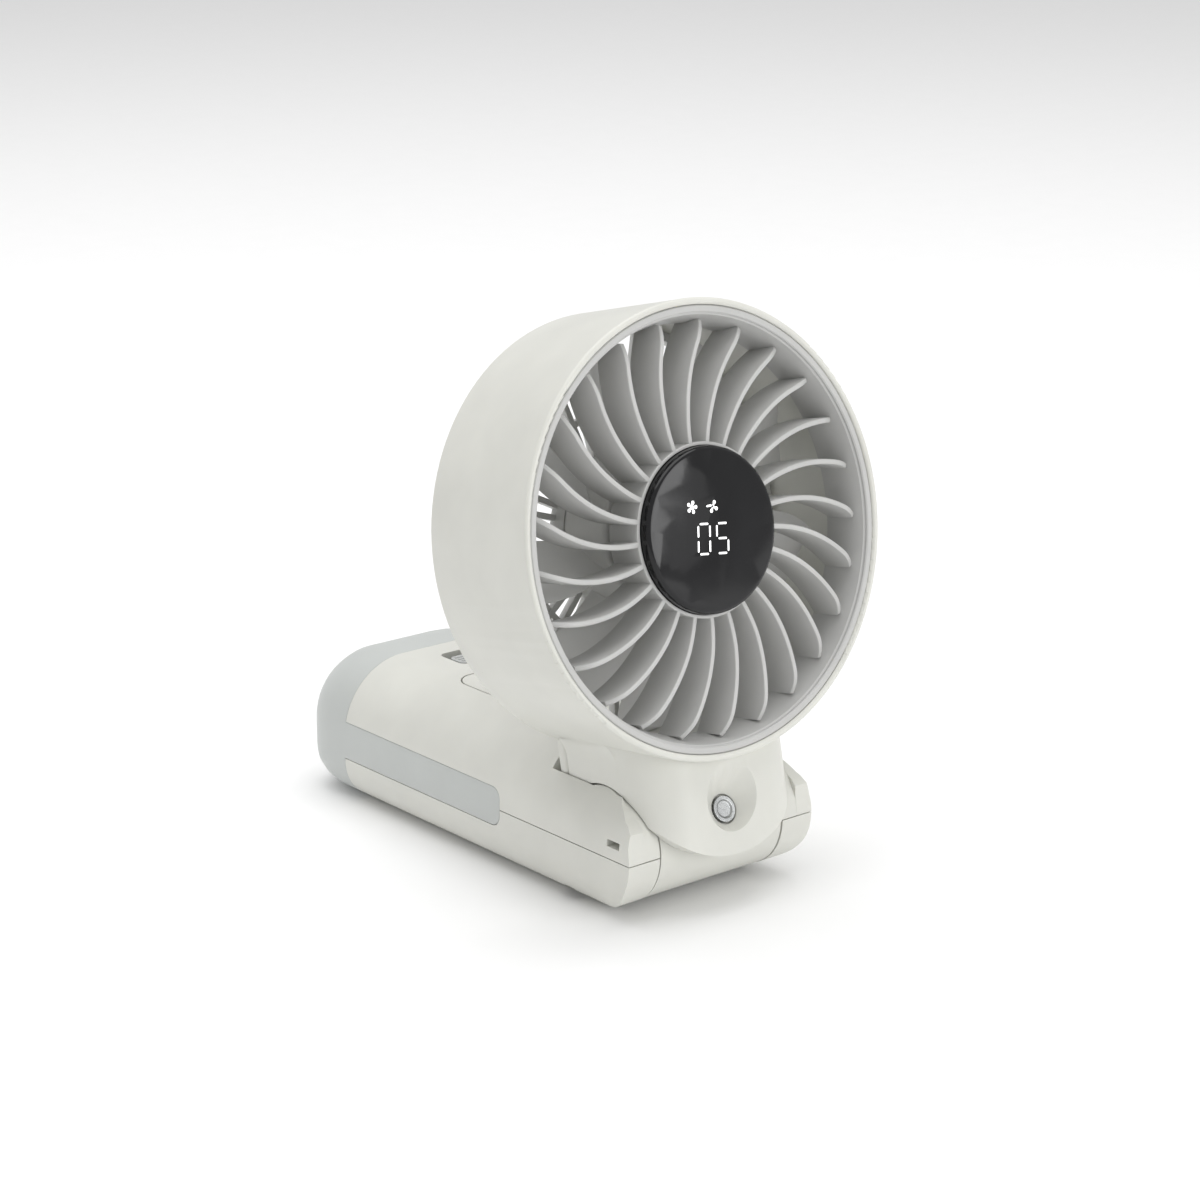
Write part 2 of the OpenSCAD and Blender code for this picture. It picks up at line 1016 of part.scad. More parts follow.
module impeller() {
  color([0.86, 0.86, 0.85])
    on_fan() {
      difference() {
        disc(rotor_r, 10.7, 21.8);
        disc(13.5, 12.1, 23);
        disc(1, 10, 13);
      }
      for (i = [0:blades - 1])
        rotate([0, 0, i * 360 / blades])
          intersection() {
            tube(rotor_r - 0.2, blade_r, 10, 23);
            translate([26, 0, 16.2])
              rotate([blade_pitch, 0, 0])
                cube([24, 15, 1.2], center = true);
          }
    }
}

module rotor_can() {
  color([0.62, 0.63, 0.64])
    on_fan() {
      tube(12.7, 13.5, 12.1, 21.4);
      tube(1, 12.7, 12.1, 12.7);
    }
}

module rotor_magnet() {
  color([0.2, 0.2, 0.21])
    on_fan()
      tube(11.4, 12.7, 12.9, 21.2);
}

module motor_shaft() {
  color([0.7, 0.71, 0.72])
    on_fan()
      disc(1, 10.9, 22.3);
}

module motor_bearings() {
  color([0.66, 0.67, 0.68])
    on_fan()
      for (z = [13.4, 19.6])
        tube(1 + 0.03, 2.5, z, z + 2.3);
}

module motor_base() {
  color([0.82, 0.82, 0.81])
    on_fan() {
      tube(2.5, 3.6, 13.2, 22.7);
      difference() {
        disc(14, 22.7, 24.2);
        disc(2.4, 22, 23.3);
      }
    }
}

module stator_arms(half, from, to) {
  for (i = [0:5])
    rotate([0, 0, i * 60])
      translate([from, -half, 0])
        square([to - from, 2 * half]);
}

module stator_core() {
  color([0.5, 0.5, 0.51])
    on_fan()
      translate([0, 0, 14.6])
        linear_extrude(height = 5.4)
          difference() {
            union() {
              circle(r = 5.6);
              stator_arms(0.9, 4, 10);
              difference() {
                circle(r = 11);
                circle(r = 9.8);
                rotate([0, 0, 30])
                  stator_arms(0.7, 8, 12);
              }
            }
            circle(r = 3.6);
          }
}

module stator_coils() {
  color([0.72, 0.42, 0.2])
    on_fan()
      for (i = [0:5])
        rotate([0, 0, i * 60])
          difference() {
            translate([6.2, -2.1, 13.6])
              cube([3, 4.2, 7.4]);
            translate([6, -0.95, 14.55])
              cube([4, 1.9, 5.5]);
          }
}

module motor_board() {
  color([0.12, 0.36, 0.24])
    on_fan()
      disc(12, 24.6, 25.8);
}

module rear_grille() {
  color([0.84, 0.84, 0.82])
    on_fan() {
      tube(12.8, 14.2, 24.2, 28.8);
      disc(14.2, 27.3, 28.8);
      tube(36.6, 38.2, 26, 28.8);
      for (r = [21.2, 28.9])
        tube(r - 0.6, r + 0.6, 27, 28.8);
      for (i = [0:back_ribs - 1])
        rotate([0, 0, i * 360 / back_ribs])
          translate([13.6, -0.55, 26.8])
            cube([23.4, 1.1, 2]);
    }
}

// ---- selection ----

upper_shell();
lower_shell();
light_diffuser();
power_button();
slide_switch();
switch_body();
button_switch();
main_board();
board_chips();
battery_cells();
cell_tabs();
light_board();
light_leds();
usb_port();
usb_board();
shell_screws();
hinge_bushings();
hinge_washers();
hinge_shaft();
hinge_barrel();
neck_screw();
head_shell();
neck_back_cover();
front_grille();
display_lens();
display_digits();
display_icons();
display_board();
impeller();
rotor_can();
rotor_magnet();
motor_shaft();
motor_bearings();
motor_base();
stator_core();
stator_coils();
motor_board();
rear_grille();
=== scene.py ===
import math

import bmesh
import bpy
from bpy.props import FloatProperty, FloatVectorProperty, IntProperty, PointerProperty
from mathutils import Matrix, Vector


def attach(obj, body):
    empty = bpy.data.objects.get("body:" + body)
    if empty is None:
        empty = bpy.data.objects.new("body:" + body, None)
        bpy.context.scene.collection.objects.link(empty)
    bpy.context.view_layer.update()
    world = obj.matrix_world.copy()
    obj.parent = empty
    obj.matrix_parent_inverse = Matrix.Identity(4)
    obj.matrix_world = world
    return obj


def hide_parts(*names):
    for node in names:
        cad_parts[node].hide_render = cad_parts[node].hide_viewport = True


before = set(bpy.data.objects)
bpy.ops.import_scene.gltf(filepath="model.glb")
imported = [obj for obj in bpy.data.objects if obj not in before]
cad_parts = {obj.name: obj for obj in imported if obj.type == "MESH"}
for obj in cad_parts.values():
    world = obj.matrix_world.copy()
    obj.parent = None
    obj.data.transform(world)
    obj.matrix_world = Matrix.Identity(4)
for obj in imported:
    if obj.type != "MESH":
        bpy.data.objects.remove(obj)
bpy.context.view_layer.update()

bl_info = {
    "name": "Folding Handheld Fan",
    "version": (1, 0, 0),
    "blender": (4, 5, 0),
    "location": "View3D > Sidebar > Fan",
    "description": "Builds the finished pieces of a folding handheld fan around its engineered parts",
    "category": "Object",
}

MM = 0.001

# The head leans back, and the fan's centre lies ahead of the hinge axis and above it
HEAD_LEAN = math.radians(11.7)
HINGE = Vector((0, -42.8 * MM, 12.8 * MM))
HEAD_LEAD = 18.6 * MM
HEAD_RISE = 54.8 * MM


# ---- settings ----

class FanSizes(bpy.types.PropertyGroup):
    """Sizes that set the look of the grilles, the blades and the edges"""

    vane_count: IntProperty(
        name="Vanes", description="Number of curved vanes in the front grille",
        default=25, min=8, max=60)
    vane_thickness: FloatProperty(
        name="Vane thickness", description="Thickness of one vane",
        default=1.0 * MM, subtype="DISTANCE", unit="LENGTH", precision=5)
    vane_bend: FloatProperty(
        name="Vane bend", description="Radius that a vane is bent to",
        default=29.5 * MM, subtype="DISTANCE", unit="LENGTH", precision=5)
    vane_root: FloatProperty(
        name="Vane root", description="Radius at which a vane points straight out",
        default=16 * MM, subtype="DISTANCE", unit="LENGTH", precision=5)
    vane_turn: FloatProperty(
        name="First vane", description="Turn of the first vane about the fan axis",
        default=math.radians(-3.35), subtype="ANGLE", unit="ROTATION")
    ring_radius: FloatProperty(
        name="Ring radius", description="Outer radius of the grille's ring",
        default=39.9 * MM, subtype="DISTANCE", unit="LENGTH", precision=5)
    ring_inner: FloatProperty(
        name="Ring opening", description="Inner radius of the grille's ring",
        default=36.9 * MM, subtype="DISTANCE", unit="LENGTH", precision=5)
    hub_radius: FloatProperty(
        name="Hub radius", description="Outer radius of the hub cup",
        default=15.75 * MM, subtype="DISTANCE", unit="LENGTH", precision=5)
    blade_count: IntProperty(
        name="Blades", description="Number of blades on the impeller",
        default=9, min=3, max=15)
    blade_radius: FloatProperty(
        name="Blade tip", description="Radius of the blade tips",
        default=36 * MM, subtype="DISTANCE", unit="LENGTH", precision=5)
    rib_count: IntProperty(
        name="Back ribs", description="Number of ribs in the back grille",
        default=40, min=8, max=80)
    edge_round: FloatProperty(
        name="Edge rounding", description="Rounding of the moulded edges",
        default=0.16 * MM, subtype="DISTANCE", unit="LENGTH", precision=5)


def colour_setting(label, words, default):
    """A colour picker with a plain label."""
    return FloatVectorProperty(
        name=label, description=words, subtype="COLOR", size=3, min=0, max=1, default=default)


class FanColours(bpy.types.PropertyGroup):
    """Colours of the finishes"""

    shell: colour_setting("Shell", "Warm white of the moulded shells", (0.68, 0.68, 0.632))
    grille: colour_setting("Grille", "Light grey of the front grille", (0.52, 0.52, 0.508))
    inner: colour_setting("Inner parts", "White of the blades and the back grille", (0.66, 0.66, 0.645))
    diffuser: colour_setting("Diffuser", "Milky grey of the glowing cap", (0.54, 0.56, 0.545))
    lens: colour_setting("Lens", "Black of the hub cover", (0.006, 0.006, 0.007))
    figures: colour_setting("Figures", "Light of the figures and signs", (1.0, 1.0, 1.0))
    steel: colour_setting("Steel", "Grey of the screws and shafts", (0.42, 0.43, 0.43))
    board: colour_setting("Boards", "Green of the circuit boards", (0.02, 0.12, 0.06))


def sizes():
    return bpy.context.scene.fan_sizes


def colours():
    return bpy.context.scene.fan_colours


# ---- finishes ----

def link(tree, source, target):
    """Joins an output socket to an input socket."""
    tree.links.new(source, target)


def noise(tree, place, scale, detail, stretch=(1, 1, 1)):
    """A noise pattern that keeps its size on the object. scale counts features in a metre."""
    mapping = tree.nodes.new("ShaderNodeMapping")
    mapping.inputs["Scale"].default_value = stretch
    link(tree, place, mapping.inputs["Vector"])
    pattern = tree.nodes.new("ShaderNodeTexNoise")
    pattern.inputs["Scale"].default_value = scale
    pattern.inputs["Detail"].default_value = detail
    link(tree, mapping.outputs["Vector"], pattern.inputs["Vector"])
    return pattern.outputs["Fac"]


def spread(tree, value, low, high):
    """Maps the middle of a noise to the range low to high."""
    node = tree.nodes.new("ShaderNodeMapRange")
    node.inputs["From Min"].default_value = 0.3
    node.inputs["From Max"].default_value = 0.7
    node.inputs["To Min"].default_value = low
    node.inputs["To Max"].default_value = high
    link(tree, value, node.inputs["Value"])
    return node.outputs["Result"]


def finish(name, colour, rough, grain, mottle=0.03, grain_scale=5200, depth=0.012, stretch=(1, 1, 1)):
    """A finish with a fine grain in its surface and a slight cloud in its colour and gloss."""
    material = bpy.data.materials.new(name)
    material.use_nodes = True
    tree = material.node_tree
    shader = tree.nodes["Principled BSDF"]
    place = tree.nodes.new("ShaderNodeTexCoord").outputs["Object"]
    cloud = noise(tree, place, 90, 3)
    fine = noise(tree, place, grain_scale, 4, stretch)
    mix = tree.nodes.new("ShaderNodeMix")
    mix.data_type = "RGBA"
    mix.inputs["A"].default_value = [c * (1 - mottle) for c in colour] + [1]
    mix.inputs["B"].default_value = [min(1, c * (1 + mottle)) for c in colour] + [1]
    link(tree, spread(tree, cloud, 0, 1), mix.inputs["Factor"])
    link(tree, mix.outputs["Result"], shader.inputs["Base Color"])
    total = tree.nodes.new("ShaderNodeMath")
    total.operation = "ADD"
    link(tree, spread(tree, cloud, rough - 0.04, rough + 0.04), total.inputs[0])
    link(tree, spread(tree, fine, -grain, grain), total.inputs[1])
    link(tree, total.outputs["Value"], shader.inputs["Roughness"])
    bump = tree.nodes.new("ShaderNodeBump")
    bump.inputs["Strength"].default_value = 0.35
    bump.inputs["Distance"].default_value = depth * MM
    link(tree, fine, bump.inputs["Height"])
    link(tree, bump.outputs["Normal"], shader.inputs["Normal"])
    material.diffuse_color = list(colour) + [1]
    return material, shader


def moulded(name, colour, rough=0.36):
    """Satin moulded plastic with a spark-eroded grain and light that soaks in a little."""
    material, shader = finish(name, colour, rough, 0.05)
    shader.inputs["IOR"].default_value = 1.5
    shader.inputs["Subsurface Weight"].default_value = 0.08
    shader.inputs["Subsurface Radius"].default_value = (0.9, 0.85, 0.7)
    shader.inputs["Subsurface Scale"].default_value = 0.8 * MM
    return material


def milky(name, colour):
    """Frosted plastic that lets the light of the lamps through."""
    material, shader = finish(name, colour, 0.42, 0.06, mottle=0.02)
    shader.inputs["Subsurface Weight"].default_value = 0.55
    shader.inputs["Subsurface Radius"].default_value = (1.0, 1.0, 1.0)
    shader.inputs["Subsurface Scale"].default_value = 1.6 * MM
    shader.inputs["IOR"].default_value = 1.49
    return material


def polished(name, colour):
    """Black polished lens with faint waviness."""
    material, shader = finish(name, colour, 0.1, 0.02, mottle=0.2, grain_scale=240, depth=0.02)
    shader.inputs["Coat Weight"].default_value = 0.15
    shader.inputs["Coat Roughness"].default_value = 0.06
    shader.inputs["IOR"].default_value = 1.5
    shader.inputs["Specular IOR Level"].default_value = 0.32
    return material


def glowing(name, colour, strength):
    """Plastic that gives off light of its own colour, for figures and lamps."""
    material, shader = finish(name, colour, 0.25, 0.03, mottle=0.02, grain_scale=1800)
    shader.inputs["Emission Color"].default_value = list(colour) + [1]
    shader.inputs["Emission Strength"].default_value = strength
    return material


def metal(name, colour, rough=0.3, stretch=(1, 1, 1), scale=2600):
    """Turned or drawn metal with a fine grain, which stretch can draw out into lines."""
    material, shader = finish(
        name, colour, rough, 0.08, mottle=0.06, grain_scale=scale, stretch=stretch)
    shader.inputs["Metallic"].default_value = 1
    shader.inputs["Anisotropic"].default_value = 0.3
    return material


def lacquered(name, colour):
    """Circuit board lacquer over glass cloth."""
    material, shader = finish(name, colour, 0.3, 0.06, mottle=0.1, grain_scale=1500, depth=0.03)
    shader.inputs["Coat Weight"].default_value = 0.4
    shader.inputs["Coat Roughness"].default_value = 0.15
    return material


def material(name):
    """The finish of that name, made the first time it is asked for."""
    found = bpy.data.materials.get(name)
    if found:
        return found
    c = colours()
    makers = {
        "shell_satin": lambda: moulded(name, c.shell),
        "grille_satin": lambda: moulded(name, c.grille, 0.38),
        "inner_satin": lambda: moulded(name, c.inner, 0.42),
        "cap_milky": lambda: milky(name, c.diffuser),
        "lens_polished": lambda: polished(name, c.lens),
        "figures_lit": lambda: glowing(name, c.figures, 1.1),
        "slider_grey": lambda: moulded(name, (0.46, 0.47, 0.46), 0.4),
        "steel_drawn": lambda: metal(name, c.steel, 0.28),
        "steel_laminated": lambda: metal(name, (0.2, 0.2, 0.21), 0.4, (1, 1, 6)),
        "brass_turned": lambda: metal(name, (0.55, 0.38, 0.14), 0.3),
        "nickel_strip": lambda: metal(name, (0.6, 0.59, 0.56), 0.22),
        "copper_wound": lambda: metal(name, (0.45, 0.16, 0.06), 0.3, (1, 8, 1), 1200),
        "board_green": lambda: lacquered(name, c.board),
        "board_white": lambda: lacquered(name, (0.75, 0.76, 0.74)),
        "chip_black": lambda: moulded(name, (0.02, 0.02, 0.022), 0.5),
        "washer_fibre": lambda: moulded(name, (0.03, 0.03, 0.03), 0.7),
        "cell_film": lambda: lacquered(name, (0.03, 0.1, 0.25)),
        "lamp_resin": lambda: glowing(name, (0.9, 0.78, 0.35), 0.15),
        "magnet_ferrite": lambda: moulded(name, (0.05, 0.05, 0.055), 0.6),
    }
    return makers[name]()


# ---- placing and meshing ----

def fan_matrix():
    """From the fan's own frame, z to the back along the fan axis, to the place on the desk."""
    lean = Matrix.Rotation(-HEAD_LEAN, 4, "X")
    centre = Matrix.Translation((0, -HEAD_LEAD, HEAD_RISE))
    turn = Matrix.Rotation(-math.pi / 2, 4, "X")
    return Matrix.Translation(HINGE) @ lean @ centre @ turn


def new_object(name, mesh):
    """Puts a mesh into the scene as an object of that name."""
    obj = bpy.data.objects.new(name, mesh)
    bpy.context.scene.collection.objects.link(obj)
    return obj


def smooth_by_angle(mesh, degrees=32):
    """Smooth shading that breaks at the moulded edges."""
    limit = math.radians(degrees)
    bm = bmesh.new()
    bm.from_mesh(mesh)
    for face in bm.faces:
        face.smooth = True
    for edge in bm.edges:
        edge.smooth = len(edge.link_faces) == 2 and edge.calc_face_angle(0) < limit
    bm.to_mesh(mesh)
    bm.free()


def settle(obj, finish_name, body, slot, *nodes):
    """Gives a finished piece its material and its body, and hides the parts that it stands for. The slot
    is not used.
    """
    obj.data.materials.clear()
    obj.data.materials.append(material(finish_name))
    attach(obj, body)
    if nodes:
        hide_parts(*nodes)
    return obj


def clean_copy(node, name, rounding=0.0):
    """A welded copy of a part with smooth faces and, where asked, rounded edges."""
    weld, flat = 0.0005 * MM, 0.02
    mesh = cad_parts[node].data.copy()
    mesh.name = name
    bm = bmesh.new()
    bm.from_mesh(mesh)
    bmesh.ops.remove_doubles(bm, verts=bm.verts, dist=weld)
    bmesh.ops.dissolve_limit(bm, angle_limit=flat, verts=bm.verts, edges=bm.edges)
    bm.to_mesh(mesh)
    bm.free()
    smooth_by_angle(mesh)
    obj = new_object(name, mesh)
    if rounding:
        bevel = obj.modifiers.new("Rounded edges", "BEVEL")
        bevel.width = rounding
        bevel.segments = 2
        bevel.limit_method = "ANGLE"
        bevel.angle_limit = math.radians(38)
        bevel.use_clamp_overlap = True
        bevel.harden_normals = True
    return obj


def lathe(bm, profile, steps, closed=True):
    """Turns a profile of (radius, depth) points about the fan axis."""
    rings = []
    for step in range(steps):
        a = 2 * math.pi * step / steps
        rings.append([bm.verts.new((r * math.cos(a), r * math.sin(a), z)) for r, z in profile])
    last = len(profile) if closed else len(profile) - 1
    for step in range(steps):
        here, there = rings[step], rings[(step + 1) % steps]
        for k in range(last):
            n = (k + 1) % len(profile)
            bm.faces.new((here[k], here[n], there[n], there[k]))


def loft(bm, sections):
    """Joins closed outlines of equal length into a capped solid."""
    loops = [[bm.verts.new(p) for p in section] for section in sections]
    for here, there in zip(loops, loops[1:]):
        for k in range(len(here)):
            n = (k + 1) % len(here)
            bm.faces.new((here[k], here[n], there[n], there[k]))
    bm.faces.new(loops[0][::-1])
    bm.faces.new(loops[-1])


def to_mesh(bm, name, place=None):
    """Turns the drawn faces into a mesh with outward faces, moved to its place if there is one."""
    bmesh.ops.recalc_face_normals(bm, faces=bm.faces)
    mesh = bpy.data.meshes.new(name)
    bm.to_mesh(mesh)
    bm.free()
    if place:
        mesh.transform(place)
    return mesh


def arc(cx, cy, radius, start, end, steps):
    """Points on an arc, angles in degrees."""
    points = []
    for k in range(steps + 1):
        a = math.radians(start + (end - start) * k / steps)
        points.append((cx + radius * math.cos(a), cy + radius * math.sin(a)))
    return points


# ---- repeated pieces ----

def ring_tree():
    """Geometry nodes that repeat a piece around the fan axis and set it in its place."""
    tree = bpy.data.node_groups.get("Fan Ring Of Pieces")
    if tree:
        return tree
    tree = bpy.data.node_groups.new("Fan Ring Of Pieces", "GeometryNodeTree")
    face = tree.interface
    face.new_socket("Geometry", in_out="INPUT", socket_type="NodeSocketGeometry")
    face.new_socket("Count", in_out="INPUT", socket_type="NodeSocketInt")
    face.new_socket("First Turn", in_out="INPUT", socket_type="NodeSocketFloat")
    face.new_socket("Centre", in_out="INPUT", socket_type="NodeSocketVector")
    face.new_socket("Tilt", in_out="INPUT", socket_type="NodeSocketFloat")
    face.new_socket("Finish", in_out="INPUT", socket_type="NodeSocketMaterial")
    face.new_socket("Geometry", in_out="OUTPUT", socket_type="NodeSocketGeometry")
    add = tree.nodes.new
    start = add("NodeGroupInput")
    line = add("GeometryNodeMeshLine")
    line.inputs["Offset"].default_value = (0, 0, 0)
    index = add("GeometryNodeInputIndex")
    step = add("ShaderNodeMath")
    step.operation = "DIVIDE"
    step.inputs[0].default_value = 2 * math.pi
    turn = add("ShaderNodeMath")
    turn.operation = "MULTIPLY_ADD"
    around = add("ShaderNodeCombineXYZ")
    to_turn = add("FunctionNodeEulerToRotation")
    copies = add("GeometryNodeInstanceOnPoints")
    real = add("GeometryNodeRealizeInstances")
    lean = add("ShaderNodeCombineXYZ")
    put = add("GeometryNodeTransform")
    paint = add("GeometryNodeSetMaterial")
    end = add("NodeGroupOutput")
    link(tree, start.outputs["Count"], line.inputs["Count"])
    link(tree, start.outputs["Count"], step.inputs[1])
    link(tree, index.outputs["Index"], turn.inputs[0])
    link(tree, step.outputs["Value"], turn.inputs[1])
    link(tree, start.outputs["First Turn"], turn.inputs[2])
    link(tree, turn.outputs["Value"], around.inputs["Z"])
    link(tree, around.outputs["Vector"], to_turn.inputs["Euler"])
    link(tree, line.outputs["Mesh"], copies.inputs["Points"])
    link(tree, start.outputs["Geometry"], copies.inputs["Instance"])
    link(tree, to_turn.outputs["Rotation"], copies.inputs["Rotation"])
    link(tree, copies.outputs["Instances"], real.inputs["Geometry"])
    link(tree, real.outputs["Geometry"], put.inputs["Geometry"])
    link(tree, start.outputs["Centre"], put.inputs["Translation"])
    link(tree, start.outputs["Tilt"], lean.inputs["X"])
    link(tree, lean.outputs["Vector"], put.inputs["Rotation"])
    link(tree, put.outputs["Geometry"], paint.inputs["Geometry"])
    link(tree, start.outputs["Finish"], paint.inputs["Material"])
    link(tree, paint.outputs["Geometry"], end.inputs["Geometry"])
    return tree


def ring_of(mesh, name, count, first_turn, finish_name):
    """Repeats a mesh around the fan axis and returns the result as a plain mesh in place."""
    holder = new_object(name + "_maker", mesh)
    nodes = holder.modifiers.new("Ring", "NODES")
    nodes.node_group = ring_tree()
    values = {
        "Count": count,
        "First Turn": first_turn,
        "Centre": fan_matrix().to_translation(),
        "Tilt": -HEAD_LEAN - math.pi / 2,
        "Finish": material(finish_name),
    }
    for item in nodes.node_group.interface.items_tree:
        if item.in_out == "INPUT" and item.name in values:
            nodes[item.identifier] = values[item.name]
    graph = bpy.context.evaluated_depsgraph_get()
    result = bpy.data.meshes.new_from_object(holder.evaluated_get(graph))
    result.name = name
    bpy.data.objects.remove(holder)
    return result


def join(name, *meshes):
    """One mesh made of several."""
    bm = bmesh.new()
    for mesh in meshes:
        bm.from_mesh(mesh)
    whole = bpy.data.meshes.new(name)
    bm.to_mesh(whole)
    bm.free()
    return whole


def vane_mesh():
    """One curved vane with a rounded front edge, swept back where it meets the ring."""
    s = sizes()
    half = s.vane_thickness / 2
    front, back = 1.0 * MM, 9.0 * MM
    root_dip, root_length = 0.3 * MM, 6 * MM
    sweep_start, sweep = 33.2 * MM, 0.105 / MM
    into_ring = 1.1 * MM
    steps = 30
    before, reach = math.radians(0.8), math.radians(47.5)
    bm = bmesh.new()
    sections = []
    for k in range(steps + 1):
        a = reach * k / steps - before
        r_mid = Vector((s.vane_bend * (1 - math.cos(a)), -s.vane_root - s.vane_bend * math.sin(a)))
        side = Vector((math.cos(a), math.sin(a)))
        r = min(r_mid.length, s.ring_inner + into_ring)
        beyond = max(0.0, r - sweep_start)
        z = front + root_dip * max(0.0, 1 - (r - s.vane_root) / root_length) + sweep * beyond * beyond
        if r_mid.length > s.ring_inner + 1.0 * MM:
            break
        outline = [(half * 0.92, back), (half, z + 0.32 * MM)]
        outline += [(half * 0.8, z + 0.1 * MM), (0.3 * half, z)]
        outline += [(-x, y) for x, y in outline[::-1]]
        sections.append([(r_mid.x + side.x * x, r_mid.y + side.y * x, y) for x, y in outline])
    loft(bm, sections)
    return to_mesh(bm, "vane")


def blade_mesh():
    """One impeller blade, thick at the hub and twisted towards its tip."""
    s = sizes()
    steps = 14
    root = 15.0 * MM
    middle = 16.2 * MM
    crown = 1.1 * MM
    bm = bmesh.new()
    sections = []
    for k in range(steps + 1):
        t = k / steps
        r = root + (s.blade_radius - root) * t
        pitch = math.radians(50 - 24 * t)
        chord = (10.5 + 5.5 * t - 2.2 * t ** 6) * MM
        half = (0.75 - 0.35 * t) * MM
        sweep = math.radians(8 * t * t)
        outline = []
        for side in (1, -1):
            for j in range(9):
                u = (j / 8 - 0.5) * side
                camber = crown * (1 - 4 * u * u)
                thick = half * side * math.sqrt(max(0.04, 1 - (2 * u) ** 4))
                along, across = u * chord, camber + thick
                x = along * math.cos(pitch) - across * math.sin(pitch)
                z = middle + along * math.sin(pitch) + across * math.cos(pitch)
                a = x / r + sweep
                outline.append((r * math.cos(a), r * math.sin(a), z))
        sections.append(outline)
    loft(bm, sections)
    return to_mesh(bm, "blade")


def rib_mesh():
    """One rib of the back grille with a rounded crown."""
    bm = bmesh.new()
    half, low, high = 0.55 * MM, 26.8 * MM, 28.75 * MM
    outline = [(-half, low), (half, low), (half, high - 0.3 * MM), (0.6 * half, high)]
    outline += [(-0.6 * half, high), (-half, high - 0.3 * MM)]
    sections = [[(r, x, z) for x, z in outline] for r in (13.8 * MM, 25 * MM, 37 * MM)]
    loft(bm, sections)
    return to_mesh(bm, "rib")


# ---- pieces ----

class FAN_OT_shells(bpy.types.Operator):
    """Makes the moulded shells of the head, the neck and the handle"""

    bl_idname = "fan.shells"
    bl_label = "Moulded shells"

    def execute(self, context):
        edge = sizes().edge_round
        for node, body in (
            ("head_shell", "head"),
            ("neck_back_cover", "head"),
            ("hinge_barrel", "head"),
            ("upper_shell", "handle"),
            ("lower_shell", "handle"),
        ):
            shell = clean_copy(node, node + "_moulded", edge)
            settle(shell, "shell_satin", body, "shell_white", node)
        return {"FINISHED"}


class FAN_OT_diffuser(bpy.types.Operator):
    """Makes the milky cap with its two side strips"""

    bl_idname = "fan.diffuser"
    bl_label = "Glowing cap"

    def execute(self, context):
        cap = clean_copy("light_diffuser", "light_diffuser_moulded", sizes().edge_round)
        settle(cap, "cap_milky", "handle", "diffuser", "light_diffuser")
        return {"FINISHED"}


class FAN_OT_controls(bpy.types.Operator):
    """Makes the power button and the slider"""

    bl_idname = "fan.controls"
    bl_label = "Button and slider"

    def execute(self, context):
        edge = sizes().edge_round
        button = clean_copy("power_button", "power_button_moulded", edge)
        settle(button, "shell_satin", "button", "button_white", "power_button")
        slider = clean_copy("slide_switch", "slide_switch_moulded", edge * 0.6)
        settle(slider, "slider_grey", "slider", "switch_grey", "slide_switch")
        return {"FINISHED"}


class FAN_OT_front_grille(bpy.types.Operator):
    """Makes the front grille: its ring, its curved vanes and the hub cup"""

    bl_idname = "fan.front_grille"
    bl_label = "Front grille"

    def execute(self, context):
        s = sizes()
        vanes = ring_of(vane_mesh(), "vanes", s.vane_count, s.vane_turn, "grille_satin")
        bm = bmesh.new()
        outer, inner = s.ring_radius, s.ring_inner
        front, back = 0.35 * MM, 9.45 * MM
        land = 38.6 * MM
        small = 0.2 * MM
        ring = [(outer, back), (outer, front + small), (outer - small, front)]
        ring += [(land + small, front), (land, front + small)]
        ring += [(land, front + 0.6 * MM), (land - 0.35 * MM, front + 0.8 * MM)]
        ring += [(inner + 0.5 * MM, 4 * MM), (inner, 6.5 * MM), (inner, back)]
        lathe(bm, ring, 192)
        hub, lens, cable = s.hub_radius, 15.13 * MM, 1 * MM
        rim, floor, under = 1.3 * MM, 7.8 * MM, 9.15 * MM
        cup = [(hub, under), (hub, rim + 0.15 * MM), (hub - 0.15 * MM, rim)]
        cup += [(lens + 0.1 * MM, rim), (lens, rim + 0.1 * MM), (lens, floor)]
        cup += [(cable, floor), (cable, under)]
        lathe(bm, cup, 128)
        rings = to_mesh(bm, "rings", fan_matrix())
        whole = join("front_grille_moulded", vanes, rings)
        smooth_by_angle(whole, 40)
        grille = new_object("front_grille_moulded", whole)
        settle(grille, "grille_satin", "head", "grille_grey", "front_grille")
        return {"FINISHED"}


class FAN_OT_rear_grille(bpy.types.Operator):
    """Makes the back grille: its hub, its rings and its ribs"""

    bl_idname = "fan.rear_grille"
    bl_label = "Back grille"

    def execute(self, context):
        ribs = ring_of(rib_mesh(), "ribs", sizes().rib_count, 0, "inner_satin")
        bm = bmesh.new()
        high = 28.78 * MM
        small = 0.3 * MM
        for a, b, low in (
            (36.6 * MM, 38.2 * MM, 26 * MM),
            (20.6 * MM, 21.8 * MM, 27 * MM),
            (28.3 * MM, 29.5 * MM, 27 * MM),
        ):
            ring = [(a, low), (b, low), (b, high - small)]
            ring += [(b - small, high), (a + small, high), (a, high - small)]
            lathe(bm, ring, 160)
        hub, edge, inner = 14.2 * MM, 0.5 * MM, 12.8 * MM
        front, under, middle = 24.3 * MM, 27.4 * MM, 0.3 * MM
        cup = [(hub, front), (hub, high - edge), (hub - edge, high), (middle, high - 0.4 * MM)]
        cup += [(middle, under), (inner, under), (inner, front)]
        lathe(bm, cup, 96)
        whole = join("rear_grille_moulded", ribs, to_mesh(bm, "rings", fan_matrix()))
        smooth_by_angle(whole, 40)
        grille = new_object("rear_grille_moulded", whole)
        settle(grille, "inner_satin", "head", "grille_light", "rear_grille")
        return {"FINISHED"}


